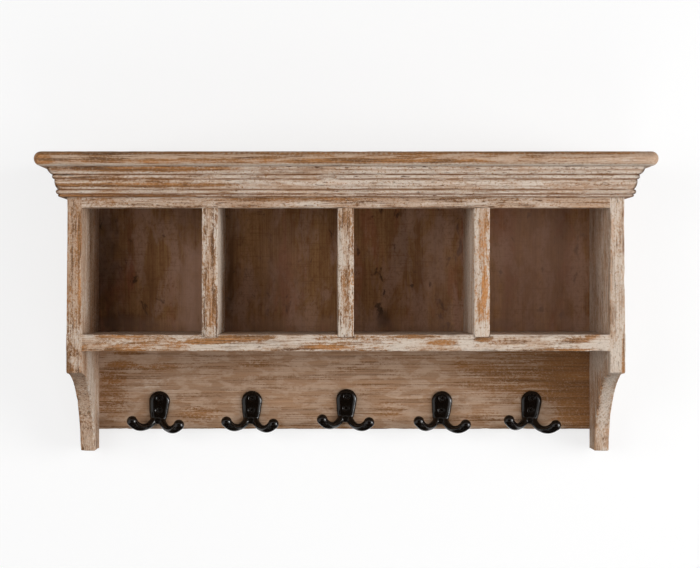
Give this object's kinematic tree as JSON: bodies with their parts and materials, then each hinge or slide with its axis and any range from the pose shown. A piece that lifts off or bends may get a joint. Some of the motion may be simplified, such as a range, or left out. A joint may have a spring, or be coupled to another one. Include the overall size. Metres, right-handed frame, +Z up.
{
  "type": "wall shelf",
  "caption": "Rustic whitewashed wooden wall shelf with a reeded crown, open cubbies and a rail of black double coat hooks.",
  "frame": {"origin": "on the wall plane, midway between the centres of the two keyhole entries", "axes": "+Z up, +X to the right as one faces the shelf, +Y into the wall, so the front faces -Y"},
  "size_m": [0.69, 0.178, 0.344],
  "materials": {
    "washed_wood": "worn whitewash over brown wood, matt",
    "stained_back": "dark brown stain, upright grain, matt",
    "worn_rail": "thin worn wash over brown wood, matt",
    "black_iron": "glossy black paint on a casting",
    "black_screws": "black, semi-gloss",
    "zinc_steel": "zinc plated",
    "bright_steel": "bright drawn wire",
    "beech": "bare"
  },
  "bodies": {
    "root": {"top_board": "washed_wood", "crown_front": "washed_wood", "crown_left": "washed_wood", "crown_right": "washed_wood", "frieze_board": "washed_wood", "side_left": "washed_wood", "side_right": "washed_wood", "divider_left": "washed_wood", "divider_centre": "washed_wood", "divider_right": "washed_wood", "shelf_board": "washed_wood", "back_panel": "stained_back", "hook_rail": "worn_rail", "hanger_plate_left": "zinc_steel", "hanger_plate_right": "zinc_steel", "hook_far_left": "black_iron", "hook_left": "black_iron", "hook_centre": "black_iron", "hook_right": "black_iron", "hook_far_right": "black_iron", "shelf_dowels": "beech", "frieze_dowels": "beech", "top_dowels": "beech", "back_nails": "bright_steel", "rail_nails": "bright_steel", "crown_pins": "bright_steel", "divider_screws": "bright_steel", "hanger_screws": "bright_steel", "hook_screws": "black_screws"}
  },
  "joints": []
}
